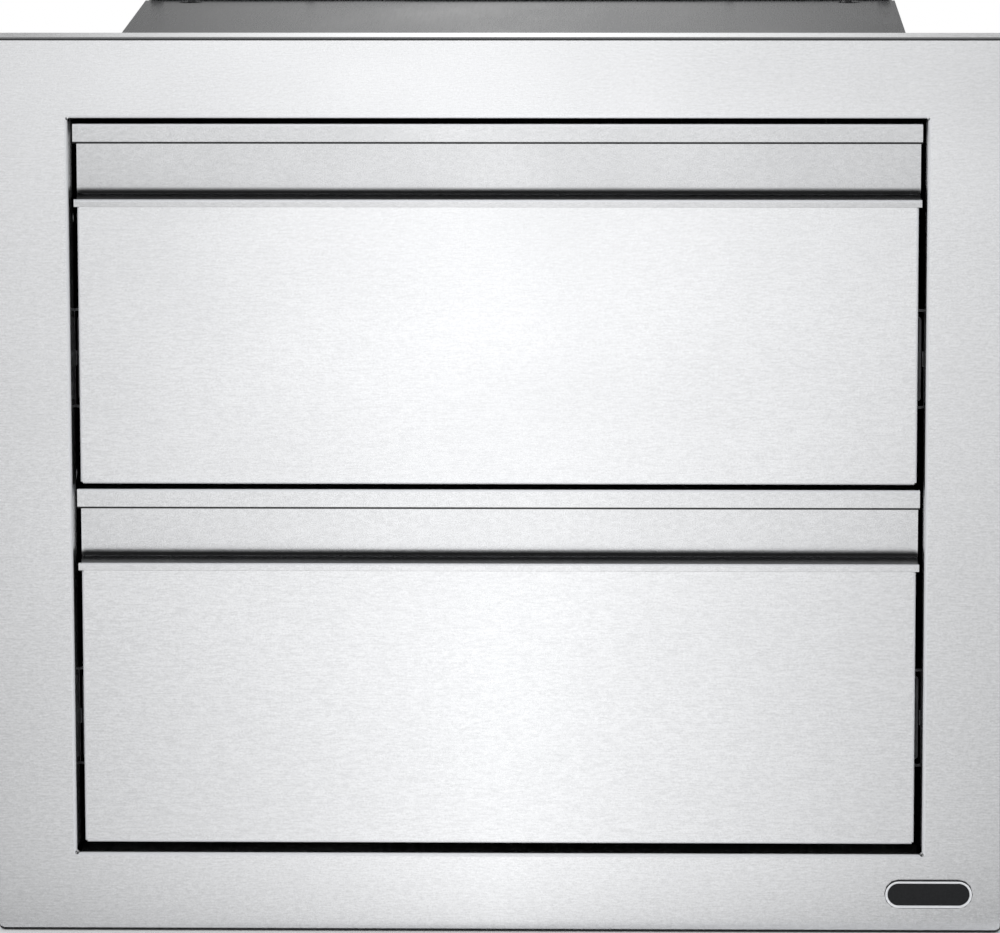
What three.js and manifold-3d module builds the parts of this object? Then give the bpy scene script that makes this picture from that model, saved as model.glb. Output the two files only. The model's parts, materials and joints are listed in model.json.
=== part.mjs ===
// Outdoor kitchen drawer unit: a stainless face frame with two drawers on telescopic ball runners,
// in a sheet metal case that is let into a cabinet. Millimetres, +X right, +Z up, the front looks to -Y.
// The origin is the centre of the cabinet's cut-out, in the plane of the cabinet's face.
import * as THREE from "three";
import { mergeVertices } from "three/addons/utils/BufferGeometryUtils.js";
import Module from "manifold-3d";

const wasm = await Module();
wasm.setup();

// Face frame
const faceWidth = 457.2;
const faceHeight = 409.2;
const borderWidth = 36.4;
const frameSheet = 1.2;
const frameDepth = 19;
const openingReturn = 22;
const frameBend = 0.2;
const openingBend = 0.2;
const frameCorner = 3;
const openingCorner = 0.8;
const reliefRadius = 0.9;
const reliefDepth = 3;

// Name plate on the frame's lower border, left blank
const badgeWidth = 40;
const badgeHeight = 13;
const badgeThickness = 1.4;
const badgeRim = 0.9;
const badgeRecess = 0.4;
const badgeFromRight = 13.2;
const badgeFromBottom = 11.7;

// Case
const unitDepth = 508;
const caseSheet = 0.9;
const caseBend = 1;
const caseFlange = 12;
const caseLap = 12;
const backFlange = 12;
const fixingHoleRadius = 2.4;
const fixingHoleSetback = 18;
const fixingHoleRise = 118;
const ventRadius = 6;
const ventFromSide = 24;
const ventFromFlange = 8;

// Clearances
const seatGap = 0.2;
const topGap = 2.5;
const drawerGap = 1.9;
const bottomGap = 4.2;
const sideGap = 2.2;

// Drawer front: a folded pull over a folded pan
const pullSheet = 0.8;
const pullBend = 0.2;
const lipHeight = 9;
const lipHem = 3;
const lipHemRise = 4;
const recessDepth = 20;
const recessHeight = 25.3;
const recessCurve = 0.8;
const noseInset = 2;
const noseHeight = 3.4;
const panSheet = 0.8;
const panBend = 0.2;
const panNarrower = 1.4;
const linerSheet = 0.8;
const linerMargin = 3;
const linerCorner = 4;

// Drawer tray
const traySheet = 1;
const trayBend = 1;
const trayHeight = 120;
const trayRise = 9;
const trayHem = 6;
const trayHemDrop = 4;
const trayFlange = 10;

// Telescopic runners, measured across from the case's side wall
const runnerThickness = 12.7;
const runnerHeight = 45.6;
const runnerShortfall = 62;
const runnerSetback = 4;
const runnerRise = 45;
const runnerSheet = 1.2;
const runnerBend = 0.6;
const webPlay = 0.4;
const outerFlange = 9.8;
const ballRadius = 1.5;
const ballPlay = 0.1;
const lipReach = 1.2;
const curlReach = 1;
const raceBend = 0.2;
const jogRise = 0.9;
const jogRun = 1.3;
const cageSheet = 0.4;
const cageBend = 0.3;
const cagePlay = 0.4;
const cageEndMargin = 9;
const stopDepth = 1.2;
const stopHeight = 7;
const stopRoom = 2;
const runnerHoleRadius = 2.6;
const runnerHoleFromEnd = 38;
const bufferLength = 8;
const bufferHeight = 20;
const bufferWidth = 8;
const bufferCorner = 1.5;

// Counts
const bendSteps = 3;
const curveSteps = 6;
const cornerSteps = 3;
const ballsPerRow = 4;
const ballSides = 6;
const ballBands = 4;
const holeSides = 10;

// Overrun of every cutting tool past the sheet it cuts
const overrun = 1;
const leastCorner = 0.2;

// Places that follow from these sizes
const openingWidth = faceWidth - 2 * borderWidth;
const openingHeight = faceHeight - 2 * borderWidth;
const returnEnd = openingReturn - frameDepth;
const caseInnerWidth = openingWidth + 2 * (frameSheet + seatGap);
const caseOuterWidth = caseInnerWidth + 2 * caseSheet;
const caseSideHeight = openingHeight + 2 * frameSheet;
const caseOuterHeight = caseSideHeight + 2 * (seatGap + caseSheet);
const caseFront = returnEnd - caseLap;
const backPlane = unitDepth - frameDepth;
const backDepth = backFlange + caseSheet + caseBend;
const backFront = backPlane - backDepth;
const backHalfWidth = caseInnerWidth / 2 - seatGap;
const frontHeight = (openingHeight - topGap - drawerGap - bottomGap) / 2;
const pullWidth = openingWidth - 2 * sideGap;
const pullFront = -frameDepth;
const pullRear = pullFront + recessDepth + pullSheet;
const floorDrop = lipHeight + recessHeight;
const panTopDrop = floorDrop + pullSheet + seatGap;
const panInset = noseInset + pullSheet + seatGap;
const panWidth = pullWidth - 2 * panNarrower;
const linerFront = pullRear + seatGap;
const trayFront = linerFront + linerSheet + seatGap;
const trayWidth = caseInnerWidth - 2 * runnerThickness;
const trayBottomDrop = frontHeight - trayRise;
const runnerFront = trayFront + runnerSetback;
const runnerLength = unitDepth - runnerShortfall;
const trayLength = runnerSetback + runnerLength;
const outerLength = runnerLength + bufferLength + 2 * seatGap;
const cageLength = runnerLength / 2 - 2 * stopRoom;

// Materials, one for each mesh that asks
function steel(color, roughness) {
  return new THREE.MeshStandardMaterial({ color, roughness, metalness: 1 });
}
const brushedSteel = () => steel(0xd9dadd, 0.34);
const satinSteel = () => steel(0xd4d6da, 0.42);
const millSteel = () => steel(0xb4b5b6, 0.4);
const zincSteel = () => steel(0x4b4d50, 0.42);
const ballSteel = () => steel(0xcfd2d6, 0.16);
const darkRubber = () => new THREE.MeshStandardMaterial({ color: 0x1d1e1f, roughness: 0.8, metalness: 0 });
const darkEnamel = () => new THREE.MeshStandardMaterial({ color: 0x333436, roughness: 0.35, metalness: 0.2 });

function piece(name, geometry, material) {
  const mesh = new THREE.Mesh(geometry, material);
  mesh.name = name;
  return mesh;
}

function at(object, x, y, z) {
  object.position.set(x, y, z);
  return object;
}

// Solids for joining and cutting
function solidOf(geometry) {
  const bare = geometry.index ? geometry.toNonIndexed() : geometry.clone();
  bare.deleteAttribute("normal");
  bare.deleteAttribute("uv");
  const merged = mergeVertices(bare);
  return new wasm.Manifold(
    new wasm.Mesh({
      numProp: 3,
      vertProperties: merged.attributes.position.array,
      triVerts: new Uint32Array(merged.index.array),
    }),
  );
}

function geometryOf(solid) {
  const mesh = solid.getMesh();
  const geometry = new THREE.BufferGeometry();
  geometry.setAttribute("position", new THREE.BufferAttribute(new Float32Array(mesh.vertProperties), 3));
  geometry.setIndex(new THREE.BufferAttribute(new Uint32Array(mesh.triVerts), 1));
  const faceted = geometry.toNonIndexed();
  faceted.computeVertexNormals();
  return faceted;
}

function cut(geometry, tools) {
  return geometryOf(tools.reduce((solid, tool) => solid.subtract(solidOf(tool)), solidOf(geometry)));
}

function join(geometry, additions) {
  return geometryOf(additions.reduce((solid, more) => solid.add(solidOf(more)), solidOf(geometry)));
}

// The section of a folded sheet. The folds are corners on one face, and the sheet lies to the left of
// the way they run. Each inner radius belongs to one fold, in the same order.
function foldedSheet(folds, sheet, insides, steps = bendSteps) {
  const corners = folds.map(([u, v]) => new THREE.Vector2(u, v));
  const near = [];
  const far = [];
  const leftOf = (way) => new THREE.Vector2(-way.y, way.x);
  const wayTo = (i) => corners[i + 1].clone().sub(corners[i]).normalize();
  const addEnd = (point, way) => {
    near.push(point.clone());
    far.push(point.clone().addScaledVector(leftOf(way), sheet));
  };
  addEnd(corners[0], wayTo(0));
  for (let i = 1; i < corners.length - 1; i++) {
    const before = wayTo(i - 1);
    const after = wayTo(i);
    const turn = Math.atan2(before.cross(after), before.dot(after));
    const side = Math.sign(turn);
    const inside = insides[i - 1];
    const radius = side > 0 ? inside + sheet : inside;
    const start = corners[i].clone().addScaledVector(before, -radius * Math.tan(Math.abs(turn) / 2));
    const centre = start.clone().addScaledVector(leftOf(before), side * radius);
    for (let step = 0; step <= steps; step++) {
      const spoke = start.clone().sub(centre).rotateAround(new THREE.Vector2(), (turn * step) / steps);
      near.push(centre.clone().add(spoke));
      far.push(centre.clone().addScaledVector(spoke, (radius - side * sheet) / radius));
    }
  }
  addEnd(corners[corners.length - 1], wayTo(corners.length - 2));
  return { near, far };
}

function outlineOf({ near, far }) {
  return new THREE.Shape([...near, ...[...far].reverse()]);
}

// Prisms: the section's two axes become two axes of the part, and the length runs along the third.
function prism(shape, length, right, up, along) {
  const options = { depth: length, bevelEnabled: false, curveSegments: holeSides };
  const geometry = new THREE.ExtrudeGeometry(shape, options);
  return geometry.applyMatrix4(new THREE.Matrix4().makeBasis(right, up, along));
}
const plusX = new THREE.Vector3(1, 0, 0);
const plusY = new THREE.Vector3(0, 1, 0);
const plusZ = new THREE.Vector3(0, 0, 1);
const minusY = new THREE.Vector3(0, -1, 0);

// A section in (y, z), centred across the width.
function acrossX(shape, width) {
  return prism(shape, width, plusY, plusZ, plusX).translate(-width / 2, 0, 0);
}

// A section in (x, z), from front to front + length.
function backFrom(front, shape, length) {
  return prism(shape, length, plusX, plusZ, minusY).translate(0, front + length, 0);
}

// A section in (x, y), upwards from the bottom.
function upFrom(bottom, shape, height) {
  return prism(shape, height, plusX, plusY, plusZ).translate(0, 0, bottom);
}

function block(lowX, highX, lowY, highY, lowZ, highZ) {
  const box = new THREE.BoxGeometry(highX - lowX, highY - lowY, highZ - lowZ);
  return box.translate((lowX + highX) / 2, (lowY + highY) / 2, (lowZ + highZ) / 2);
}

function rodAlongX(radius, length, y, z) {
  const rod = new THREE.CylinderGeometry(radius, radius, length, holeSides);
  return rod.rotateZ(Math.PI / 2).translate(0, y, z);
}

function rodAlongY(radius, length, x, z) {
  return new THREE.CylinderGeometry(radius, radius, length, holeSides).translate(x, 0, z);
}

function roundedRectangle(width, height, radius) {
  const points = [];
  for (let corner = 0; corner < 4; corner++) {
    const sideX = corner === 0 || corner === 3 ? 1 : -1;
    const sideZ = corner < 2 ? 1 : -1;
    for (let step = 0; step <= cornerSteps; step++) {
      const angle = ((corner + step / cornerSteps) * Math.PI) / 2;
      const x = sideX * (width / 2 - radius) + radius * Math.cos(angle);
      const z = sideZ * (height / 2 - radius) + radius * Math.sin(angle);
      points.push(new THREE.Vector2(x, z));
    }
  }
  return points;
}

function ring(width, height, radius, y) {
  return roundedRectangle(width, height, radius).map((p) => new THREE.Vector3(p.x, y, p.y));
}

// A skin over rings with the same count of points. It closes on itself, or its two ends are capped.
function loft(rings, closes) {
  const count = rings[0].length;
  const spans = closes ? rings.length : rings.length - 1;
  const index = [];
  for (let span = 0; span < spans; span++) {
    const a = span * count;
    const b = ((span + 1) % rings.length) * count;
    for (let j = 0; j < count; j++) {
      const k = (j + 1) % count;
      index.push(a + j, a + k, b + k, a + j, b + k, b + j);
    }
  }
  const last = (rings.length - 1) * count;
  for (let j = 1; !closes && j < count - 1; j++) {
    index.push(0, j + 1, j);
    index.push(last, last + j, last + j + 1);
  }
  const geometry = new THREE.BufferGeometry().setFromPoints(rings.flat());
  geometry.setIndex(index);
  const faceted = geometry.toNonIndexed();
  faceted.computeVertexNormals();
  return faceted;
}

// A sheet folded into a shallow pan with four flanges, notched at its corners so that each flange folds
// by itself. Its plate's outer face lies at y = 0 and the flanges run back from it, or forward where
// facing is -1.
function pan(width, height, depth, sheet, inside, facing) {
  const outerBend = inside + sheet;
  const { near, far } = foldedSheet([[0, depth], [0, 0], [2 * outerBend, 0]], sheet, [inside]);
  const rings = [...[...near].reverse(), ...far].map(({ x: inset, y: back }) =>
    ring(width - 2 * inset, height - 2 * inset, leastCorner, facing * back),
  );
  const notches = [-1, 1].flatMap((sideX) =>
    [-1, 1].map((sideZ) => {
      const size = 2 * outerBend;
      const notch = new THREE.BoxGeometry(size, 2 * (depth + overrun), size);
      return notch.translate((sideX * width) / 2, 0, (sideZ * height) / 2);
    }),
  );
  return cut(loft(facing > 0 ? rings.reverse() : rings, false), notches);
}

function faceFrame() {
  const section = foldedSheet(
    [[0, 0], [0, -frameDepth], [borderWidth, -frameDepth], [borderWidth, returnEnd]],
    frameSheet,
    [frameBend, openingBend],
  );
  const loop = [...section.near, ...[...section.far].reverse()];
  const rings = loop.map(({ x: inset, y }) => {
    const outside = inset < borderWidth / 2;
    const radius = outside ? Math.max(frameCorner - inset, leastCorner) : openingCorner + borderWidth - inset;
    return ring(faceWidth - 2 * inset, faceHeight - 2 * inset, Math.max(radius, leastCorner), y);
  });
  const reliefs = [-1, 1].flatMap((sideX) =>
    [-1, 1].map((sideZ) =>
      rodAlongY(reliefRadius, 2 * reliefDepth, (sideX * openingWidth) / 2, (sideZ * openingHeight) / 2)
        .translate(0, -frameDepth, 0),
    ),
  );
  return piece("face_frame", cut(loft(rings, true), reliefs), brushedSteel());
}

function badgePlate() {
  const edge = badgeHeight / 2;
  const steps = [
    [0, 0],
    [0, badgeThickness - badgeRim / 2],
    [badgeRim / 4, badgeThickness],
    [badgeRim, badgeThickness],
    [badgeRim, badgeThickness - badgeRecess],
  ];
  const rings = steps.map(([inset, rise]) =>
    ring(badgeWidth - 2 * inset, badgeHeight - 2 * inset, edge - inset - leastCorner, -rise),
  );
  const plate = piece("badge_plate", loft(rings, false), darkEnamel());
  const x = faceWidth / 2 - badgeFromRight - badgeWidth / 2;
  const z = -faceHeight / 2 + badgeFromBottom + badgeHeight / 2;
  return at(plate, x, -frameDepth - seatGap, z);
}

// The top stops under the back's upper flange. Its rear corners clear the back's side flanges, and it
// has a hole near each of them.
function caseTop() {
  const half = caseOuterWidth / 2;
  const rear = backPlane - caseSheet - caseBend;
  const rearHalf = backHalfWidth - caseSheet - leastCorner - seatGap;
  const step = backFront - seatGap;
  const right = [[half, caseFront], [half, step], [rearHalf, step], [rearHalf, rear]];
  const left = [...right].reverse().map(([x, y]) => [-x, y]);
  const shape = new THREE.Shape([...right, ...left].map(([x, y]) => new THREE.Vector2(x, y)));
  for (const side of [-1, 1]) {
    const hole = new THREE.Path();
    hole.absarc(side * (half - ventFromSide), backFront - ventFromFlange, ventRadius, 0, 2 * Math.PI, false);
    shape.holes.push(hole);
  }
  return piece("case_top", upFrom(caseSideHeight / 2 + seatGap, shape, caseSheet), millSteel());
}

function caseBottom() {
  const half = caseOuterWidth / 2;
  const low = -caseOuterHeight / 2;
  return piece("case_bottom", block(-half, half, caseFront, backPlane, low, low + caseSheet), millSteel());
}

// A side wall with flanges turned in under the top and over the bottom. They stop behind the frame
// and ahead of the back.
function caseSide(name, side) {
  const half = caseSideHeight / 2;
  const section = foldedSheet(
    [[caseFlange, half], [0, half], [0, -half], [caseFlange, -half]],
    caseSheet,
    [caseBend, caseBend],
  );
  const wall = backFrom(caseFront, outlineOf(section), backPlane - caseFront);
  const flangeless = [
    [caseFront - overrun, returnEnd + overrun],
    [backFront - seatGap, backPlane + overrun],
  ];
  const notches = flangeless.flatMap(([front, rear]) =>
    [-half - overrun, half - caseSheet - caseBend].map((low) =>
      block(caseSheet, caseFlange + overrun, front, rear, low, low + caseSheet + caseBend + overrun),
    ),
  );
  const holes = [-1, 0, 1].map((level) => {
    const y = returnEnd + fixingHoleSetback;
    return rodAlongX(fixingHoleRadius, 2 * caseSheet + 2 * overrun, y, level * fixingHoleRise);
  });
  const mesh = piece(name, cut(wall, [...notches, ...holes]), millSteel());
  mesh.scale.x = side < 0 ? 1 : -1;
  return at(mesh, (side * caseOuterWidth) / 2, 0, 0);
}

// The back fits inside the sides and on the bottom, and its upper flange laps over the top.
function caseBack() {
  const top = caseOuterHeight / 2 + seatGap + caseSheet;
  const bottom = -caseSideHeight / 2;
  const back = pan(2 * backHalfWidth, top - bottom, backDepth, caseSheet, caseBend, -1);
  return at(piece("case_back", back, millSteel()), 0, backPlane, (top + bottom) / 2);
}

// The pull: lip, top, recess wall, floor and nose are one folded sheet. Depth counts from the lip's front.
function drawerPull(name) {
  const under = -floorDrop - pullSheet;
  const folds = [
    [noseInset + pullSheet, -floorDrop - noseHeight],
    [noseInset + pullSheet, under],
    [recessDepth + pullSheet, under],
    [recessDepth + pullSheet, 0],
    [0, 0],
    [0, -lipHeight],
    [lipHem, -lipHeight],
    [lipHem, lipHemRise - lipHeight],
  ];
  const insides = [pullBend, recessCurve, pullBend, pullBend, pullBend, pullBend];
  const section = outlineOf(foldedSheet(folds, pullSheet, insides, curveSteps));
  return at(piece(name, acrossX(section, pullWidth), satinSteel()), 0, pullFront, 0);
}

function drawerPanel(name) {
  const height = frontHeight - panTopDrop;
  const depth = recessDepth + pullSheet - panInset;
  const panel = pan(panWidth, height, depth, panSheet, panBend, 1);
  return at(piece(name, panel, brushedSteel()), 0, pullFront + panInset, -panTopDrop - height / 2);
}

function frontLiner(name) {
  const shape = new THREE.Shape(
    roundedRectangle(panWidth - 2 * linerMargin, frontHeight - 2 * linerMargin, linerCorner),
  );
  return at(piece(name, backFrom(linerFront, shape, linerSheet), millSteel()), 0, 0, -frontHeight / 2);
}

// Tray: a folded channel with rolled edges, and two end walls that sit inside it.
function trayBody(name) {
  const half = trayWidth / 2;
  const top = trayHeight - trayBottomDrop - traySheet;
  const bottom = -trayBottomDrop;
  const folds = [
    [-half - trayHem, top - trayHemDrop],
    [-half - trayHem, top],
    [-half, top],
    [-half, bottom],
    [half, bottom],
    [half, top],
    [half + trayHem, top],
    [half + trayHem, top - trayHemDrop],
  ];
  const section = outlineOf(foldedSheet(folds, traySheet, folds.slice(2).map(() => trayBend)));
  return piece(name, backFrom(trayFront, section, trayLength), millSteel());
}

const endWidth = trayWidth - 2 * (traySheet + seatGap);
const endHeight = trayHeight - traySheet - seatGap;
const endBottom = -trayBottomDrop + traySheet + seatGap;

// The front wall's flanges run back along the tray's sides and bottom. Its top edge is plain.
function trayFrontWall(name) {
  const outerBend = traySheet + trayBend;
  const folded = pan(endWidth, endHeight + outerBend, trayFlange, traySheet, trayBend, 1);
  const top = endHeight + outerBend;
  const half = endWidth / 2 + overrun;
  const trim = block(-half, half, -overrun, trayFlange + overrun, top / 2 - outerBend, top / 2 + overrun);
  return at(piece(name, cut(folded, [trim]), millSteel()), 0, trayFront, endBottom + top / 2);
}

// The back wall's four flanges face away from the hollow.
function trayBackWall(name) {
  const wall = pan(endWidth, endHeight, trayFlange, traySheet, trayBend, 1);
  const y = trayFront + trayLength - trayFlange;
  return at(piece(name, wall, millSteel()), 0, y, endBottom + endHeight / 2);
}

// Runner sections. Across counts from the case wall towards the tray, and up from the runner's middle.
const outerLipFace = seatGap + outerFlange;
const outerBallAcross = (outerLipFace - runnerSheet + seatGap + 2 * (runnerSheet + webPlay) + cageSheet
  + runnerSheet) / 2;
const outerBallUp = runnerHeight / 2 - runnerSheet - ballPlay - ballRadius;
const outerCageWeb = seatGap + runnerSheet + webPlay;
const middleWeb = outerCageWeb + cageSheet + webPlay;
const middleTop = outerBallUp - ballRadius - ballPlay;
const innerBallUp = middleTop - runnerSheet - ballPlay - ballRadius;
const jogTurn = Math.atan2(jogRise, jogRun);
const jogShoulder = (runnerSheet + raceBend) * (1 + Math.tan(jogTurn / 2)) + raceBend;
const innerCageWeb = middleWeb + runnerSheet + webPlay;
const innerTip = innerCageWeb + cageSheet + webPlay;
const innerTop = innerBallUp - ballRadius - ballPlay;
const innerFace = runnerThickness - seatGap;
const middleLipFace = innerFace - runnerSheet - webPlay;
const innerBallAcross = (innerTip + runnerSheet + middleLipFace - runnerSheet) / 2;

// Doubles one half of a section about its middle, so that it runs from the top tip to the bottom tip.
function mirrored(half) {
  return [...half, ...[...half].reverse().map(([across, up]) => [across, -up])];
}

function runnerSection(half, insides) {
  return outlineOf(foldedSheet(mirrored(half), runnerSheet, [...insides, ...[...insides].reverse()]));
}

function holedMember(section, length, webFace) {
  const member = backFrom(0, section, length);
  const holes = [runnerHoleFromEnd, runnerLength / 2, runnerLength - runnerHoleFromEnd].map((y) =>
    rodAlongX(runnerHoleRadius, 2 * runnerSheet + 2 * overrun, y, 0).translate(webFace, 0, 0),
  );
  return cut(member, holes);
}

// A small bent stop on a member's web, in the way of the end of a cage's web.
function webStop(from, to, front) {
  return block(from, to, front, front + stopDepth, -stopHeight / 2, stopHeight / 2);
}

const outerMemberShape = join(
  holedMember(
    runnerSection(
      [
        [outerLipFace, runnerHeight / 2 - runnerSheet - lipReach],
        [outerLipFace, runnerHeight / 2],
        [seatGap, runnerHeight / 2],
      ],
      [runnerBend, runnerBend],
    ),
    outerLength,
    seatGap,
  ),
  [webStop(seatGap + runnerSheet / 2, outerCageWeb + cageSheet, 0)],
);

const middleMemberShape = join(
  backFrom(
    0,
    runnerSection(
      [
        [middleLipFace, middleTop - runnerSheet - lipReach],
        [middleLipFace, middleTop],
        [middleWeb + jogShoulder + jogRun, middleTop],
        [middleWeb + jogShoulder, middleTop + jogRise],
        [middleWeb, middleTop + jogRise],
      ],
      [runnerBend, raceBend, raceBend, raceBend],
    ),
    runnerLength,
  ),
  [
    webStop(middleWeb + runnerSheet / 2, innerCageWeb + cageSheet, 0),
    webStop(outerCageWeb, middleWeb + runnerSheet / 2, runnerLength - stopDepth),
  ],
);

// The inner member faces the other way, so its section is drawn from the bottom tip to the top one. Its
// stops stand on its two curled edges.
const innerMemberShape = join(
  holedMember(
    outlineOf(
      foldedSheet(
        mirrored([
          [innerTip + runnerSheet, -innerTop - curlReach],
          [innerTip + runnerSheet, -innerTop],
          [innerFace, -innerTop],
        ]),
        runnerSheet,
        [raceBend, runnerBend, runnerBend, raceBend],
      ),
    ),
    runnerLength,
    innerFace,
  ),
  [-innerTop - curlReach, innerTop].map((low) => {
    const end = innerTip + runnerSheet / 2;
    return block(innerCageWeb, end, runnerLength - stopDepth, runnerLength, low, low + curlReach);
  }),
);

// A ball cage: a thin channel that holds one row of balls above and one below.
function ballCage(web, tip, ballAcross, ballUp) {
  const edge = ballUp + cageSheet / 2;
  const folds = [[tip, edge], [web, edge], [web, -edge], [tip, -edge]];
  const channel = backFrom(0, outlineOf(foldedSheet(folds, cageSheet, [cageBend, cageBend])), cageLength);
  const pitch = (cageLength - 2 * cageEndMargin) / (ballsPerRow - 1);
  const balls = [-1, 1].flatMap((row) =>
    Array.from({ length: ballsPerRow }, (_, i) =>
      new THREE.SphereGeometry(ballRadius, ballSides, ballBands)
        .translate(ballAcross, cageEndMargin + i * pitch, row * ballUp),
    ),
  );
  return join(channel, balls);
}

const outerCageTip = outerLipFace - runnerSheet - cagePlay;
const innerCageTip = middleLipFace - runnerSheet - cagePlay;
const outerCageShape = ballCage(outerCageWeb, outerCageTip, outerBallAcross, outerBallUp);
const innerCageShape = ballCage(innerCageWeb, innerCageTip, innerBallAcross, innerBallUp);

const bufferShape = backFrom(
  0,
  new THREE.Shape(roundedRectangle(bufferWidth, bufferHeight, bufferCorner)),
  bufferLength,
);

// One telescopic runner. The right one is the mirror image of the left one.
function runner(prefix, side) {
  const group = new THREE.Group();
  group.scale.x = side < 0 ? 1 : -1;
  const behind = runnerFront + runnerLength + seatGap;
  const cageFront = runnerFront + (runnerLength - cageLength) / 2;
  group.add(
    at(piece(prefix + "_outer_member", outerMemberShape, zincSteel()), 0, runnerFront, 0),
    at(piece(prefix + "_middle_member", middleMemberShape, zincSteel()), 0, runnerFront, 0),
    at(piece(prefix + "_inner_member", innerMemberShape, zincSteel()), 0, runnerFront, 0),
    at(piece(prefix + "_outer_ball_cage", outerCageShape, ballSteel()), 0, cageFront, 0),
    at(piece(prefix + "_inner_ball_cage", innerCageShape, ballSteel()), 0, cageFront, 0),
    at(piece(prefix + "_rear_buffer", bufferShape, darkRubber()),
      2 * seatGap + runnerSheet + bufferWidth / 2, behind, 0),
  );
  return at(group, (side * caseInnerWidth) / 2, 0, runnerRise - trayBottomDrop);
}

// One drawer with its runners, hung from the top edge of its front.
function drawer(level, top) {
  const group = new THREE.Group();
  group.add(
    drawerPull(level + "_drawer_pull"),
    drawerPanel(level + "_drawer_panel"),
    frontLiner(level + "_drawer_liner"),
    trayBody(level + "_tray_body"),
    trayFrontWall(level + "_tray_front"),
    trayBackWall(level + "_tray_back"),
    runner(level + "_left", -1),
    runner(level + "_right", 1),
  );
  return at(group, 0, 0, top);
}

const unit = new THREE.Group();
unit.add(
  faceFrame(),
  badgePlate(),
  caseTop(),
  caseBottom(),
  caseSide("case_left_side", -1),
  caseSide("case_right_side", 1),
  caseBack(),
  drawer("upper", openingHeight / 2 - topGap),
  drawer("lower", openingHeight / 2 - topGap - frontHeight - drawerGap),
);

export default unit;
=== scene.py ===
"""Looks of the outdoor kitchen drawer unit: finishes, fasteners, studio and camera. In metres."""

import json
import math

import bmesh
import bpy
from mathutils import Matrix, Vector


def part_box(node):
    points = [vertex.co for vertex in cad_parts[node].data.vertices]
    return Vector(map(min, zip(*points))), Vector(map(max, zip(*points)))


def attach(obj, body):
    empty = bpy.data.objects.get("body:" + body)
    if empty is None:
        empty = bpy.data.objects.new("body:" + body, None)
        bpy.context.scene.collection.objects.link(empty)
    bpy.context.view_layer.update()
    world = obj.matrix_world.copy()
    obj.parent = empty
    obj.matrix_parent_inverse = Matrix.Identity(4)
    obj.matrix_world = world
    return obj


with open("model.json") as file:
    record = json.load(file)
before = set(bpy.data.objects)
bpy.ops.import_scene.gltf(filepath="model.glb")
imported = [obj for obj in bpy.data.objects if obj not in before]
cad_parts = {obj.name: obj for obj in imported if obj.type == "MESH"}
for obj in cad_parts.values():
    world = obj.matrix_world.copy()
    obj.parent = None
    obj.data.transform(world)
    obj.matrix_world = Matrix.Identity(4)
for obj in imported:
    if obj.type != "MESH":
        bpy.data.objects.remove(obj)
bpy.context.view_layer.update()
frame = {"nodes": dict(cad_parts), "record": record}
nodes = frame["nodes"]

# Finishes. A pair of values is where a change starts and where it ends.
STEEL_TINT = (0.985, 0.995, 1.012)
ZINC_TINT = (0.97, 0.995, 1.03)
ASKEW = 0.004  # keeps a grain direction usable on faces that are square to it
SIDEWAYS_GRAIN = (1, 0, ASKEW)
BACKWARD_GRAIN = (0, 1, ASKEW)
NOISE_SPAN = (0.3, 0.7)  # what a noise mostly stays within
ROUNDING = 0.00018  # radius that the shading gives a sheet's edges
ROUNDING_SAMPLES = 4
POLISHED_HIGHLIGHT_WIDTH = 0.0005  # width of the painted highlight along the edges of polished steel
PLAIN_HIGHLIGHT_WIDTH = 0.0004  # the same on mill steel and zinc
EDGE_HIGHLIGHT_SHARE = 0.5
EDGE_HIGHLIGHT_LIFT = 1.14  # how much brighter than the steel's high value, up to the next
EDGE_HIGHLIGHT_MOST = 0.95
POLISHED_EDGE_GLOSS = 0.06  # what the bright line takes off the roughness
EDGE_COSINES = (0.995, 0.8)  # between a face's normal and its rounded one
# Values of painted shade on the top bend, in the corner holes, on the recess wall and on the hems
TOP_BEND_SHADE = 0.2
HOLE_SHADE = 0.02
RECESS_SHADE = 0.06
HEM_SHADE = 0.05

# Bends and walls are told by their normal's y, which is -1 straight forwards, and by its z.
BEND_STARTS = (-0.99999, -0.9996)
BEND_ENDS = (-0.1, -0.25)
TIPPED = (0.001, 0.01)
HOLE_WALL = (-0.3, -0.2)
UPRIGHT_WALL = (-0.5, -0.9)
# Painted highlight on bends: a pale colour with little metal in it
BEND_HIGHLIGHT_VALUE = 0.9
BEND_HIGHLIGHT_METALLIC = 0.1
MIDDLE_TO_SIDE = (0.04, 0.19)  # distances from the middle over which the painted highlight on bends fades darker

# Zones of the face, as distances from its centre
OPENING_ZONE_ASIDE = (0.2, 0.203)
OPENING_ZONE_UP = (0.18, 0.183)
TOP_EDGE_UP = (0.198, 0.2)
OPENING_CORNER = (0.1922, 0.1682)
RELIEF_REACH = (0.0016, 0.0019)  # from that corner

# Zones of the pulls
UPPER_PULL_UP = (0.02, 0.1)  # heights between the lower pull and the upper one, which is darker
RECESS_FRONT = (-0.012, -0.01)  # along y
RECESS_FLOOR_UP = 0.0034  # from the pull's lowest point
RECESS_SHADE_UP = (0.0016, 0.0034)  # from the recess floor, over which the painted shade fades

LEVELS = ("upper", "lower")
SIDES = ((-1, "left"), (1, "right"))


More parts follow.
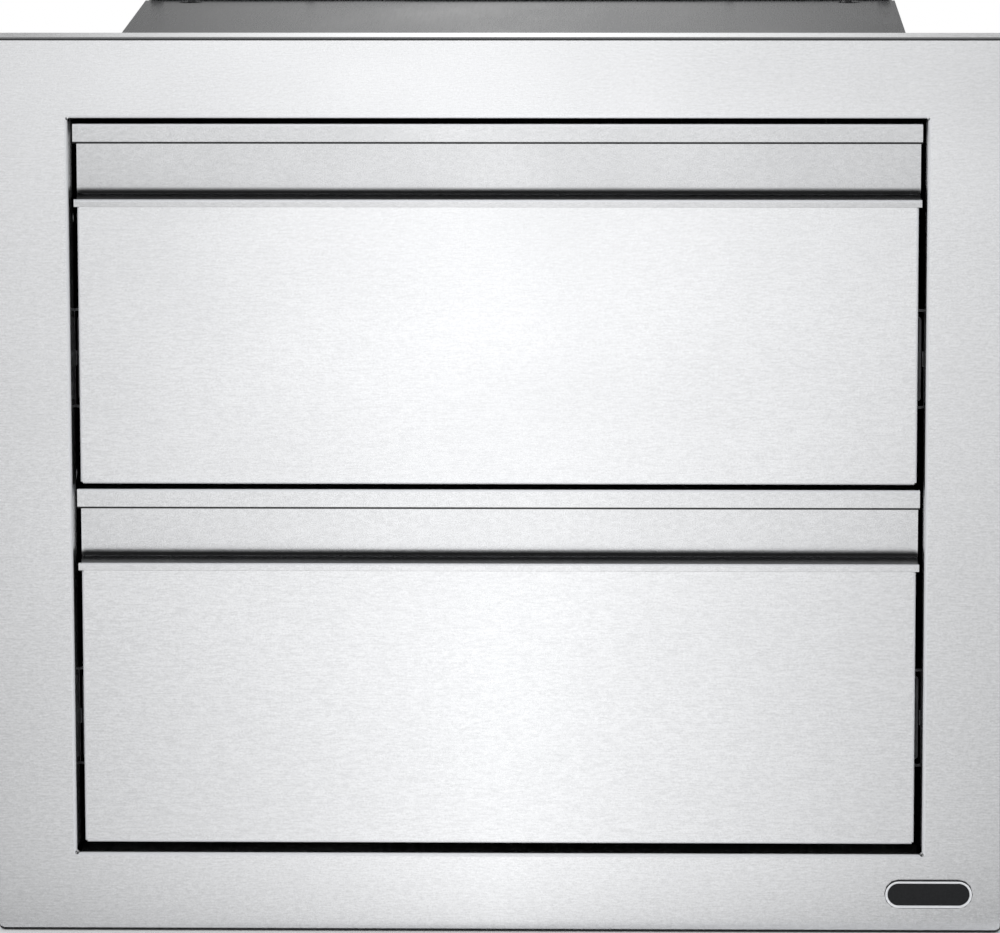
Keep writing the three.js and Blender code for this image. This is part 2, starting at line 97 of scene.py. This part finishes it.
# Material graphs
class Graph:
    """A material's node tree, with short ways to add what the finishes share."""

    def __init__(self, name):
        self.material = bpy.data.materials.new(name)
        self.material.use_nodes = True
        self.tree = self.material.node_tree
        self.tree.nodes.clear()
        self.place = self.add("ShaderNodeTexCoord").outputs["Object"]

    def add(self, kind, **settings):
        node = self.tree.nodes.new(kind)
        for key, value in settings.items():
            setattr(node, key, value)
        return node

    def feed(self, socket, value):
        """Links another node's output to the socket, or writes a plain value there."""
        if isinstance(value, bpy.types.NodeSocket):
            self.tree.links.new(value, socket)
        else:
            socket.default_value = value

    def math(self, operation, first, second=0.0):
        node = self.add("ShaderNodeMath", operation=operation)
        self.feed(node.inputs[0], first)
        self.feed(node.inputs[1], second)
        return node.outputs[0]

    def product(self, first, *others):
        for other in others:
            first = self.math("MULTIPLY", first, other)
        return first

    def total(self, first, *others):
        for other in others:
            first = self.math("ADD", first, other)
        return first

    def minus(self, first, second):
        return self.math("SUBTRACT", first, second)

    def absolute(self, value):
        return self.math("ABSOLUTE", value)

    def mixture(self, *parts):
        """The sum of parts, each a value and its share."""
        return self.total(*(self.product(value, share) for value, share in parts))

    def length(self, *parts):
        return self.math("SQRT", self.total(*(self.product(part, part) for part in parts)))

    def ranged(self, value, low, high, to_low=0.0, to_high=1.0):
        """Goes from to_low to to_high as value goes from low to high, and stays there beyond."""
        node = self.add("ShaderNodeMapRange", clamp=True)
        for socket, number in zip(node.inputs[:5], (value, low, high, to_low, to_high)):
            self.feed(socket, number)
        return node.outputs[0]

    def fading(self, value, low, high):
        return self.ranged(value, low, high, 1.0, 0.0)

    def varied(self, noise, value, below, above):
        """A value that the noise takes at most so far below and above itself."""
        return self.ranged(noise, *NOISE_SPAN, value - below, value + above)

    def blend(self, factor, first, second, mode="MIX"):
        node = self.add("ShaderNodeMix", data_type="RGBA", blend_type=mode, clamp_factor=True)
        self.feed(node.inputs[0], factor)
        for socket, value in ((node.inputs[6], first), (node.inputs[7], second)):
            linked = isinstance(value, bpy.types.NodeSocket)
            self.feed(socket, value if linked else (*value, 1.0))
        return node.outputs[2]

    def noise(self, scale, detail, roughness, shift=(0, 0, 0)):
        mapping = self.add("ShaderNodeMapping")
        self.feed(mapping.inputs["Vector"], self.place)
        mapping.inputs["Scale"].default_value = scale
        mapping.inputs["Location"].default_value = shift
        node = self.add("ShaderNodeTexNoise")
        self.feed(node.inputs["Vector"], mapping.outputs[0])
        node.inputs["Scale"].default_value = 1.0
        node.inputs["Detail"].default_value = detail
        node.inputs["Roughness"].default_value = roughness
        return node.outputs["Fac"]

    def cells(self, scale):
        node = self.add("ShaderNodeTexVoronoi", feature="F1")
        self.feed(node.inputs["Vector"], self.place)
        node.inputs["Scale"].default_value = scale
        return node.outputs

    def split(self, vector):
        node = self.add("ShaderNodeSeparateXYZ")
        self.feed(node.inputs[0], vector)
        return node.outputs

    def facing(self):
        return self.add("ShaderNodeNewGeometry").outputs["True Normal"]

    def rounded(self, radius):
        node = self.add("ShaderNodeBevel", samples=ROUNDING_SAMPLES)
        node.inputs["Radius"].default_value = radius
        return node.outputs[0]

    def edges(self, radius):
        """Near 1 along convex and concave edges, 0 on flat ground."""
        dot = self.add("ShaderNodeVectorMath", operation="DOT_PRODUCT")
        self.feed(dot.inputs[0], self.rounded(radius))
        self.feed(dot.inputs[1], self.facing())
        return self.ranged(dot.outputs["Value"], *EDGE_COSINES)

    def edge_highlit(self, color, edge, share, value):
        """The colour, with a share of a brighter one along the edges: a painted highlight."""
        return self.blend(self.product(edge, share), color, tinted(value))

    def folds(self, normal, upward=0.0):
        """Near 1 on bends that face partly forwards.

        upward 1 or -1 keeps only those that also face up or down.
        """
        _, y, z = self.split(normal)
        leaning = self.product(self.ranged(y, *BEND_STARTS), self.ranged(y, *BEND_ENDS))
        if upward:
            leaning = self.product(leaning, self.ranged(self.product(z, upward), *TIPPED))
        return leaning

    def with_bend_highlight(self, color, bends, aside, side_value):
        """The colour with a painted highlight on bends, fading darker towards the sides, and the
        metallic value for it.
        """
        by_place = self.ranged(aside, *MIDDLE_TO_SIDE)
        light = self.blend(by_place, tinted(BEND_HIGHLIGHT_VALUE), tinted(side_value))
        metallic = self.ranged(bends, 0.0, 1.0, 1.0, BEND_HIGHLIGHT_METALLIC)
        return self.blend(bends, color, light), metallic

    def bump(self, height, distance, strength, normal):
        node = self.add("ShaderNodeBump")
        node.inputs["Distance"].default_value = distance
        node.inputs["Strength"].default_value = strength
        self.feed(node.inputs["Height"], height)
        self.feed(node.inputs["Normal"], normal)
        return node.outputs[0]

    def across(self, grain):
        """The direction on the surface, square to the grain, that draws its highlights out."""
        turned = self.add(
            "ShaderNodeVectorTransform",
            vector_type="VECTOR",
            convert_from="OBJECT",
            convert_to="WORLD",
        )
        turned.inputs[0].default_value = grain
        cross = self.add("ShaderNodeVectorMath", operation="CROSS_PRODUCT")
        self.feed(cross.inputs[0], turned.outputs[0])
        self.feed(cross.inputs[1], self.facing())
        return cross.outputs[0]

    def shade(self, color, roughness, normal, metallic=1.0, anisotropy=0.0, grain=None,
              tint=1.0, specular=0.5):
        """Ends the material in one shader. A tint under 1 darkens metal at a grazing angle."""
        shader = self.add("ShaderNodeBsdfPrincipled")
        self.feed(shader.inputs["Base Color"], color)
        self.feed(shader.inputs["Roughness"], roughness)
        self.feed(shader.inputs["Normal"], normal)
        self.feed(shader.inputs["Metallic"], metallic)
        shader.inputs["Anisotropic"].default_value = anisotropy
        shader.inputs["Specular Tint"].default_value = (tint, tint, tint, 1)
        shader.inputs["Specular IOR Level"].default_value = specular
        if grain is not None:
            self.feed(shader.inputs["Tangent"], self.across(grain))
        return self.end(shader.outputs[0])

    def end(self, surface):
        output = self.add("ShaderNodeOutputMaterial")
        self.tree.links.new(surface, output.inputs["Surface"])
        return self.material


def tinted(value, tint=STEEL_TINT):
    return tuple(value * part for part in tint)


def even(value):
    return (value, value, value)


# The value of the painted highlight along edges
def edge_highlight_value(high):
    return min(high * EDGE_HIGHLIGHT_LIFT, EDGE_HIGHLIGHT_MOST)


def brushed_steel(name, low, high, roughness, anisotropy, hairline, streak):
    """The face's steel. hairline and streak are the scales of its short and long marks."""
    g = Graph(name)
    hairlines = g.noise(hairline, detail=3.0, roughness=0.6)
    streaks = g.noise(streak, detail=2.0, roughness=0.6, shift=(3.1, 1.7, 5.3))
    grit = g.noise(even(1300), detail=1.0, roughness=0.5, shift=(0.6, 2.3, 1.4))
    clouds = g.noise((7, 7, 9), detail=2.0, roughness=0.5, shift=(0.4, 0.2, 0.9))
    mixed = g.mixture((hairlines, 0.5), (streaks, 0.2), (grit, 0.3))
    color = g.blend(g.ranged(mixed, 0.38, 0.62), tinted(low), tinted(high))
    # Painted highlight along the edges
    edge = g.edges(POLISHED_HIGHLIGHT_WIDTH)
    color = g.edge_highlit(color, edge, EDGE_HIGHLIGHT_SHARE, edge_highlight_value(high))

    # Painted highlight on the bends round the opening and on the drawers, fading darker towards
    # the sides, so that they stand out against the gaps
    x, _, z = g.split(g.place)
    aside = g.absolute(x)
    up = g.absolute(z)
    smooth = g.rounded(ROUNDING)
    zone = g.product(g.fading(aside, *OPENING_ZONE_ASIDE), g.fading(up, *OPENING_ZONE_UP))
    bends = g.product(g.folds(smooth), zone)
    color, metallic = g.with_bend_highlight(color, bends, aside, side_value=0.68)

    # A dark line of painted shade on the frame's top bend
    facing = g.facing()
    top_bend_shade = g.product(g.folds(facing, upward=1.0), g.ranged(z, *TOP_EDGE_UP))
    color = g.blend(top_bend_shade, color, tinted(TOP_BEND_SHADE))

    # Painted shade on the walls of the relief holes at the opening's corners
    corner_x, corner_z = OPENING_CORNER
    reach = g.length(g.minus(aside, corner_x), g.minus(up, corner_z))
    hole_wall = g.ranged(g.split(facing)[1], *HOLE_WALL)
    hole_shaded = g.product(g.fading(reach, *RELIEF_REACH), hole_wall)
    color = g.blend(hole_shaded, color, tinted(HOLE_SHADE))

    rough = g.total(
        g.varied(mixed, roughness, below=0.045, above=0.05),
        g.varied(clouds, 0.0, below=0.02, above=0.025),
    )
    rough = g.minus(rough, g.product(edge, POLISHED_EDGE_GLOSS))
    normal = g.bump(mixed, distance=0.00004, strength=0.35, normal=smooth)
    return g.shade(color, rough, normal, metallic, anisotropy, SIDEWAYS_GRAIN)


def satin_steel(name, low, high, roughness, speck, floors):
    """The pulls' finely matt steel. floors are the heights of the recess floors."""
    g = Graph(name)
    fine = g.noise(even(speck), detail=2.0, roughness=0.6)
    drawn_scale = (speck * 0.2, speck * 0.45, speck * 0.45)
    drawn = g.noise(drawn_scale, detail=2.0, roughness=0.5, shift=(2.2, 0.7, 1.1))
    clouds = g.noise(even(11), detail=3.0, roughness=0.5, shift=(0.3, 0.8, 0.1))
    mixed = g.mixture((fine, 0.7), (drawn, 0.3))
    color = g.blend(g.ranged(mixed, 0.36, 0.64), tinted(low), tinted(high))
    x, y, z = g.split(g.place)
    color = g.blend(g.ranged(z, *UPPER_PULL_UP), color, even(0.8), "MULTIPLY")
    # Painted highlight along the edges
    edge = g.edges(POLISHED_HIGHLIGHT_WIDTH)
    color = g.edge_highlit(color, edge, EDGE_HIGHLIGHT_SHARE, edge_highlight_value(high))

    # Painted shade on the recess wall just above its floor
    nearest_floor = g.math("MINIMUM", *(g.absolute(g.minus(z, floor)) for floor in floors))
    upright_wall = g.ranged(g.split(g.facing())[1], *UPRIGHT_WALL)
    recess_shade = g.product(upright_wall, g.fading(nearest_floor, *RECESS_SHADE_UP))
    recess_shade = g.product(recess_shade, g.ranged(y, *RECESS_FRONT))
    color = g.blend(recess_shade, color, tinted(RECESS_SHADE))

    # Painted shade on bends that face down, and a painted highlight on upper bends in front of the
    # recess
    smooth = g.rounded(ROUNDING)
    color = g.blend(g.folds(smooth, upward=-1.0), color, tinted(HEM_SHADE))
    bends = g.product(g.folds(smooth, upward=1.0), g.fading(y, *RECESS_FRONT))
    color, metallic = g.with_bend_highlight(color, bends, g.absolute(x), side_value=0.7)

    rough = g.total(
        g.varied(mixed, roughness, below=0.04, above=0.04),
        g.varied(clouds, 0.0, below=0.03, above=0.03),
    )
    rough = g.minus(rough, g.product(edge, POLISHED_EDGE_GLOSS))
    normal = g.bump(mixed, distance=0.00003, strength=0.35, normal=smooth)
    return g.shade(color, rough, normal, metallic, anisotropy=0.15, grain=SIDEWAYS_GRAIN)


def mill_steel(name, low, high, roughness, rolled, tint):
    """Unpolished sheet: a faint rolled grain, cloudy patches and bright specks."""
    g = Graph(name)
    grain = g.noise(rolled, detail=4.0, roughness=0.6)
    fine = g.noise(even(1500), detail=2.0, roughness=0.6, shift=(1.3, 0.2, 0.6))
    clouds = g.noise((14, 6, 14), detail=4.0, roughness=0.6, shift=(0.7, 0.1, 0.4))
    mixed = g.mixture((grain, 0.5), (fine, 0.5))
    shade = g.mixture((mixed, 0.6), (clouds, 0.4))
    color = g.blend(g.ranged(shade, 0.36, 0.64), tinted(low), tinted(high))
    specks = g.ranged(g.cells(scale=95.0)["Distance"], 0.045, 0.02)
    color = g.blend(g.product(specks, 0.55), color, tinted(0.85))
    # Painted highlight along the edges
    color = g.edge_highlit(color, g.edges(PLAIN_HIGHLIGHT_WIDTH), share=0.45, value=min(high * 1.3, 0.9))
    rough = g.total(
        g.varied(mixed, roughness, below=0.05, above=0.05),
        g.varied(clouds, 0.0, below=0.05, above=0.05),
    )
    normal = g.bump(mixed, distance=0.00004, strength=0.4, normal=g.rounded(ROUNDING))
    return g.shade(color, rough, normal, anisotropy=0.3, grain=BACKWARD_GRAIN, tint=tint)


def zinc_steel(name, low, high, roughness):
    """Plated strip: spangle, die lines along the strip and a painted highlight on its edges."""
    g = Graph(name)
    flake = g.add("ShaderNodeSeparateColor")
    g.feed(flake.inputs[0], g.cells(scale=260.0)["Color"])
    lines = g.noise((1400, 22, 1400), detail=3.0, roughness=0.6)
    shade = g.mixture((flake.outputs[0], 0.3), (lines, 0.7))
    color = g.blend(g.ranged(shade, *NOISE_SPAN), tinted(low, ZINC_TINT), tinted(high, ZINC_TINT))
    # Painted highlight along the edges
    color = g.edge_highlit(color, g.edges(PLAIN_HIGHLIGHT_WIDTH), share=0.5, value=0.4)
    rough = g.total(
        g.varied(lines, roughness, below=0.06, above=0.06), g.product(flake.outputs[1], 0.05)
    )
    normal = g.bump(lines, distance=0.00004, strength=0.4, normal=g.rounded(ROUNDING))
    return g.shade(color, rough, normal, anisotropy=0.4, grain=BACKWARD_GRAIN)


def bright_steel(name, value, roughness):
    """The balls' polished steel with faint marks."""
    g = Graph(name)
    fine = g.noise(even(900), detail=3.0, roughness=0.6)
    marks = g.noise((160, 60, 160), detail=4.0, roughness=0.65, shift=even(0.5))
    color = g.blend(g.ranged(marks, 0.35, 0.65), tinted(value * 0.82), tinted(value))
    rough = g.varied(fine, roughness, below=0.04, above=0.07)
    normal = g.bump(fine, distance=0.00003, strength=0.3, normal=g.rounded(0.0002))
    return g.shade(color, rough, normal)


def rubber(name):
    """The buffers' black rubber with greyer scuffs."""
    g = Graph(name)
    fine = g.noise(even(2200), detail=4.0, roughness=0.65)
    scuffs = g.noise((120, 120, 40), detail=3.0, roughness=0.6, shift=(0.4, 0.1, 0.7))
    color = g.blend(g.ranged(scuffs, 0.35, 0.7), (0.012, 0.012, 0.013), (0.04, 0.039, 0.038))
    rough = g.ranged(fine, *NOISE_SPAN, 0.66, 0.86)
    normal = g.bump(fine, distance=0.00008, strength=0.6, normal=g.rounded(0.0006))
    return g.shade(color, rough, normal, metallic=0.0)


def badge(name, node):
    """A charcoal field inside a light line and a dark edge, from the plate's own outline."""
    edge, line, soft = 0.0004, 0.0009, 0.0001
    low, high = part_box(node)
    centre = (low + high) / 2
    half_width = (high.x - low.x) / 2
    half_height = (high.z - low.z) / 2
    g = Graph(name)
    x, _, z = g.split(g.place)
    beyond_straight = g.minus(g.absolute(g.minus(x, centre.x)), half_width - half_height)
    reach = g.length(g.math("MAXIMUM", beyond_straight, 0.0), g.minus(z, centre.z))
    line_end = half_height - edge
    line_start = line_end - line
    inner_field = g.fading(reach, line_start - soft, line_start)
    field = g.math("MAXIMUM", inner_field, g.ranged(reach, line_end, line_end + soft))
    fine = g.noise(even(1800), detail=3.0, roughness=0.6)
    lines = g.noise((60, 1500, 1500), detail=3.0, roughness=0.6, shift=(0.9, 0.3, 0.2))
    charcoal = (0.009, 0.0095, 0.0105), (0.017, 0.0175, 0.019)
    enamel = g.blend(g.ranged(fine, *NOISE_SPAN), *charcoal)
    metal = g.blend(g.ranged(lines, *NOISE_SPAN), tinted(0.86), tinted(0.96))
    rough = g.total(
        g.ranged(field, 0.0, 1.0, 0.24, 0.36), g.varied(fine, 0.0, below=0.04, above=0.04)
    )
    normal = g.bump(fine, distance=0.00003, strength=0.35, normal=g.rounded(0.00025))
    metallic = g.ranged(field, 0.0, 1.0, 0.25, 0.0)
    return g.shade(g.blend(field, metal, enamel), rough, normal, metallic, specular=0.2)


pull_floors = [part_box(level + "_drawer_pull")[0].z + RECESS_FLOOR_UP for level in LEVELS]
materials = {
    "brushed_face": brushed_steel(
        "brushed_face",
        low=0.73,
        high=0.91,
        roughness=0.19,
        anisotropy=0.7,
        hairline=(300, 1100, 1250),
        streak=(90, 2000, 2300),
    ),
    "satin_pull": satin_steel(
        "satin_pull", low=0.62, high=0.85, roughness=0.17, speck=2000, floors=pull_floors
    ),
    "mill_steel": mill_steel(
        "mill_steel", low=0.4, high=0.5, roughness=0.25, rolled=(1200, 30, 1200), tint=0.27
    ),
    # The runners' near-black colour is partly a dark zinc finish and partly painted shade for the
    # gaps beside the drawers
    "runner_steel": zinc_steel("runner_steel", low=0.05, high=0.1, roughness=0.34),
    "ball_steel": bright_steel("ball_steel", value=0.68, roughness=0.18),
    "rubber": rubber("rubber"),
    "badge": badge("badge", "badge_plate"),
}
slots = {part["node"]: part["material_slot"] for part in frame["record"]["subparts"]}
for node, thing in nodes.items():
    for material_slot in thing.material_slots:
        material_slot.link = "OBJECT"
        material_slot.material = materials[slots[node]]


# Small fasteners
def revolved(name, profile, steps, at, axis, slotted):
    """A closed solid turned from (radius, height) points.

    Its height runs along axis from the point at.
    """
    mesh = bpy.data.meshes.new(name)
    work = bmesh.new()
    angles = [2 * math.pi * i / steps for i in range(steps)]
    rings = []
    for radius, height in profile:
        circle = [(radius * math.cos(angle), radius * math.sin(angle), height) for angle in angles]
        points = circle if radius else [(0, 0, height)]
        rings.append([work.verts.new(point) for point in points])
    for lower, upper in zip(rings, rings[1:]):
        for i in range(steps):
            j = (i + 1) % steps
            around = ((lower, i), (lower, j), (upper, j), (upper, i))
            corners = [ring[number % len(ring)] for ring, number in around]
            face = list(dict.fromkeys(corners))
            if len(face) > 2:
                work.faces.new(face)
    bmesh.ops.recalc_face_normals(work, faces=work.faces)
    for face in work.faces:
        face.smooth = True
    for edge in work.edges:
        if len(edge.link_faces) == 2 and edge.calc_face_angle() > SMOOTH_UP_TO:
            edge.smooth = False
    turn = Vector((0, 0, 1)).rotation_difference(Vector(axis)).to_matrix().to_4x4()
    bmesh.ops.transform(work, matrix=Matrix.Translation(at) @ turn, verts=work.verts)
    work.to_mesh(mesh)
    work.free()
    thing = bpy.data.objects.new(name, mesh)
    bpy.context.scene.collection.objects.link(thing)
    mesh.materials.append(materials[slotted])
    return thing


def pan_head(radius, height, recess):
    """The profile of a pan head with a round drive socket."""
    return [
        (0, 0),
        (radius, 0),
        (radius, height * 0.35),
        (radius * 0.93, height * 0.72),
        (radius * 0.74, height * 0.94),
        (radius * 0.5, height),
        (radius * 0.36, height),
        (radius * 0.33, height - recess),
        (0, height - recess * 1.25),
    ]


def dome(radius, height, rim=0.15, steps=5):
    """The profile of a rivet's head: a dome over a rim that is a share of the height."""
    curve = []
    for step in range(1, steps):
        angle = step / steps * math.pi / 2
        rise = rim + (1 - rim) * math.sin(angle)
        curve.append((radius * math.cos(angle), height * rise))
    return [(0, 0), (radius, 0), (radius, height * rim), *curve, (0, height)]


SMOOTH_UP_TO = math.radians(42)
LARGE_STEPS = 24
SMALL_STEPS = 20
GAP = 0.0001  # between a head and the sheet under it
TRAY_SHEET = 0.001
TRAY_HEM = 0.006  # how far the tray's hems stand out from its walls
LAP_SHIFT = 0.0005  # sets the lap's fasteners forward, clear of its bend
LAP_SCREW = pan_head(radius=0.0036, height=0.0024, recess=0.0012)
LAP_SCREW_ASIDE = 0.189
LAP_RIVET = dome(radius=0.0032, height=0.0013)
LAP_RIVET_ASIDE = 0.109
FRONT_SCREW = pan_head(radius=0.004, height=0.0024, recess=0.0013)
FRONT_SCREW_COLUMNS = (-0.14, -0.047, 0.047, 0.14)
FRONT_SCREW_ROWS = (0.24, 0.76)  # shares of the tray's front wall's height
RUNNER_SCREW = pan_head(radius=0.0034, height=0.0018, recess=0.001)
RUNNER_SCREW_BACK = (0.038, 0.223, 0.408)  # from the front of the inner member
UPWARD, BACKWARD = (0, 0, 1), (0, 1, 0)

back_low, back_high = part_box("case_back")
lap = (back_high.y + back_low.y) / 2 - LAP_SHIFT
lap_top = back_high.z + GAP
for side, word in SIDES:
    screw_place = (side * LAP_SCREW_ASIDE, lap, lap_top)
    rivet_place = (side * LAP_RIVET_ASIDE, lap, lap_top)
    screw = revolved(
        f"lap_screw_{word}", LAP_SCREW, LARGE_STEPS, screw_place, UPWARD, "runner_steel"
    )
    rivet = revolved(
        f"lap_rivet_{word}", LAP_RIVET, SMALL_STEPS, rivet_place, UPWARD, "mill_steel"
    )
    for thing in (screw, rivet):
        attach(thing, "case")

for level in LEVELS:
    body = level + "_drawer"
    wall_low, wall_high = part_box(level + "_tray_front")
    tray_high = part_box(level + "_tray_body")[1]
    inner_low, inner_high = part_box(level + "_left_inner_member")
    wall_height = wall_high.z - wall_low.z
    wall_back = wall_low.y + TRAY_SHEET + GAP
    for column, x in enumerate(FRONT_SCREW_COLUMNS):
        for row, share in enumerate(FRONT_SCREW_ROWS):
            name = f"{level}_front_screw_{column}_{row}"
            place = (x, wall_back, wall_low.z + share * wall_height)
            screw = revolved(name, FRONT_SCREW, LARGE_STEPS, place, BACKWARD, "runner_steel")
            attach(screw, body)
    inside = tray_high.x - TRAY_HEM - TRAY_SHEET
    middle = (inner_low.z + inner_high.z) / 2
    for side, word in SIDES:
        inward = (-side, 0, 0)
        for number, back in enumerate(RUNNER_SCREW_BACK):
            name = f"{level}_{word}_runner_screw_{number}"
            place = (side * (inside - GAP), inner_low.y + back, middle)
            screw = revolved(name, RUNNER_SCREW, SMALL_STEPS, place, inward, "runner_steel")
            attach(screw, body)


# Studio. Only reflections show the cards and flags, and they don't show the lamps.
WHITE = (1, 1, 1, 1)
WORLD_GREY = (0.62, 0.63, 0.65, 1)
FLOOR_PAINT = (0.86, 0.86, 0.86, 1)
PAINTED_HALF_SIZE = (0.2, 0.25)  # sideways and lengthwise
SEAT_GAP = 0.0002  # between the floor and the object

# Ramps: from and to a place, then the levels there. Places are metres beyond the painted part.
FLOOR_GLOW = (0.0, 0.9, 0.1, 1.0)

# Ramps of the front card. The places are metres forwards from its rear edge.
FRONT_GLOW = (0.1, 3.0, 1.22, 1.52)
FAR_GLOW = (3.0, 4.0, 0.0, 0.75)
REAR_EDGE_GLOW = (0.0, 0.12, 0.8, 1.0)
SIDE_LOSS = (0.0, 0.9, 0.52, 0.45)

# The face mirrors a fan of the front card. These places are shares of its half width.
FAN_START = 0.2286
FAN_SPREAD = 0.077
SIDE_FADE = (0.0, 1.05)
OUTER_LOSS = (1.2, 3.0, 0.0, 0.22)


def plane(name, width, depth, at, turn):
    mesh = bpy.data.meshes.new(name)
    x, y = width / 2, depth / 2
    mesh.from_pydata([(-x, -y, 0), (x, -y, 0), (x, y, 0), (-x, y, 0)], [], [(0, 1, 2, 3)])
    thing = bpy.data.objects.new(name, mesh)
    bpy.context.scene.collection.objects.link(thing)
    thing.location = at
    thing.rotation_euler = turn
    return thing


def glow(g, level):
    emission = g.add("ShaderNodeEmission")
    emission.inputs["Color"].default_value = WHITE
    g.feed(emission.inputs["Strength"], level)
    return emission.outputs[0]


def floor_material():
    """Pale ground that takes the shadow near the object and passes into the white beyond."""
    g = Graph("studio_floor")
    paint = g.add("ShaderNodeBsdfDiffuse")
    paint.inputs["Color"].default_value = FLOOR_PAINT
    x, y, _ = g.split(g.place)
    beyond = []
    for place, half_size in zip((x, y), PAINTED_HALF_SIZE):
        beyond.append(g.math("MAXIMUM", g.minus(g.absolute(place), half_size), 0.0))
    mix = g.add("ShaderNodeMixShader")
    g.feed(mix.inputs[0], g.ranged(g.length(*beyond), *FLOOR_GLOW))
    g.feed(mix.inputs[1], paint.outputs[0])
    g.feed(mix.inputs[2], glow(g, 1.0))
    return g.end(mix.outputs[0])


def glowing_plane(g, level, name, width, depth, at, turn):
    """A card that only reflections show."""
    thing = plane(name, width, depth, at, turn)
    thing.data.materials.append(g.end(glow(g, level)))
    thing.visible_camera = False
    thing.visible_diffuse = False
    thing.visible_shadow = False


def card(name, width, depth, at, turn, centre, side, half_width=1.0):
    """Its glow goes from centre to side over half_width to each side."""
    g = Graph(name)
    x = g.split(g.place)[0]
    level = g.ranged(g.absolute(x), 0.0, half_width, centre, side)
    glowing_plane(g, level, name, width, depth, at, turn)


def front_card(name, width, depth, at, turn):
    """Lies on the ground before the object.

    Its glow grows with distance and fades to both sides.
    """
    g = Graph(name)
    x, y, _ = g.split(g.place)
    away = g.minus(depth / 2, y)
    fan = g.total(g.product(away, FAN_SPREAD), FAN_START)
    aside = g.math("DIVIDE", g.absolute(x), fan)
    side_loss = g.product(g.ranged(aside, *SIDE_FADE), g.ranged(away, *SIDE_LOSS))
    loss = g.total(side_loss, g.ranged(aside, *OUTER_LOSS))
    level = g.total(g.ranged(away, *FRONT_GLOW), g.ranged(away, *FAR_GLOW))
    level = g.product(level, g.ranged(away, *REAR_EDGE_GLOW), g.minus(1.0, loss))
    glowing_plane(g, level, name, width, depth, at, turn)


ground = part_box("face_frame")[0].z - SEAT_GAP
flat = (0, 0, 0)
upright = (math.radians(90), 0, 0)
sideways = (math.radians(90), 0, math.radians(90))
tilted = (math.radians(14), 0, 0)
swung = (0, 0, math.radians(-1.365))
floor = plane("floor", 9, 9, (0, 0.23, ground), flat)
floor.data.materials.append(floor_material())
card("rear_card", 5, 0.95, (-0.05, 2.4, 0.27), upright, centre=1.7, side=0.3, half_width=0.4)
card("front_flag", 8, 3.7, (0, -5.2, 1.95), upright, centre=0.2, side=0.2)
card("upper_flag", 8, 4.3, (0, -3.1, 4.3), tilted, centre=0.01, side=0.01)
card("right_flag", 1.6, 1.2, (1.5, 0.55, 0.35), sideways, centre=0.02, side=0.02)
front_card("front_card", 3.4, 5.0, (-0.06, -2.53, ground + 0.0005), swung)
card("contact_flag", 0.5, 0.066, (0, 0.011, ground + 0.0001), flat, centre=0.02, side=0.02)


def lamp(name, at, width, power):
    """A square lamp that faces the object."""
    light = bpy.data.lights.new(name, "AREA")
    light.shape = "RECTANGLE"
    light.size = width
    light.size_y = width
    light.energy = power
    thing = bpy.data.objects.new(name, light)
    thing.location = at
    ahead = Vector((0, 0.1, 0)) - Vector(at)
    thing.rotation_euler = ahead.to_track_quat("-Z", "Y").to_euler()
    thing.visible_camera = False
    thing.visible_glossy = False
    bpy.context.scene.collection.objects.link(thing)


lamp("key", (-1.3, -2.0, 1.3), width=1.2, power=16.0)
lamp("fill", (1.5, -2.0, 0.9), width=1.4, power=12.0)


def lit_world():
    """White where it is seen or mirrored, and grey where it lights matt surfaces."""
    world = bpy.data.worlds.new("studio")
    world.use_nodes = True
    tree = world.node_tree
    tree.nodes.clear()
    path = tree.nodes.new("ShaderNodeLightPath")
    seen = path.outputs["Is Camera Ray"]
    for other in ("Is Glossy Ray", "Is Transmission Ray"):
        most = tree.nodes.new("ShaderNodeMath")
        most.operation = "MAXIMUM"
        tree.links.new(seen, most.inputs[0])
        tree.links.new(path.outputs[other], most.inputs[1])
        seen = most.outputs[0]
    choice = tree.nodes.new("ShaderNodeMixShader")
    tree.links.new(seen, choice.inputs[0])
    for number, color in ((1, WORLD_GREY), (2, WHITE)):
        background = tree.nodes.new("ShaderNodeBackground")
        background.inputs["Color"].default_value = color
        tree.links.new(background.outputs[0], choice.inputs[number])
    output = tree.nodes.new("ShaderNodeOutputWorld")
    tree.links.new(choice.outputs[0], output.inputs["Surface"])
    return world


bpy.context.scene.world = lit_world()
bpy.context.scene.view_settings.view_transform = "Standard"

# Camera, set by the photograph's view
azimuth, elevation, roll = (math.radians(angle) for angle in (1.365, 9.85, -0.136))
distance = 3.0
target = Vector((0.00097, -0.019, 0.0106))
ahead = Vector((
    -math.sin(azimuth) * math.cos(elevation),
    math.cos(azimuth) * math.cos(elevation),
    -math.sin(elevation),
))
level_right = Vector((math.cos(azimuth), math.sin(azimuth), 0))
level_up = level_right.cross(ahead)
right = level_right * math.cos(roll) + level_up * math.sin(roll)
up = level_up * math.cos(roll) - level_right * math.sin(roll)
turn = Matrix((right, up, -ahead)).transposed().to_4x4()
camera = bpy.data.objects.new("camera", bpy.data.cameras.new("camera"))
camera.matrix_world = Matrix.Translation(target - ahead * distance) @ turn
camera.data.sensor_width = 36
camera.data.lens = 239.8
camera.data.clip_end = 60
bpy.context.scene.collection.objects.link(camera)
bpy.context.scene.camera = camera
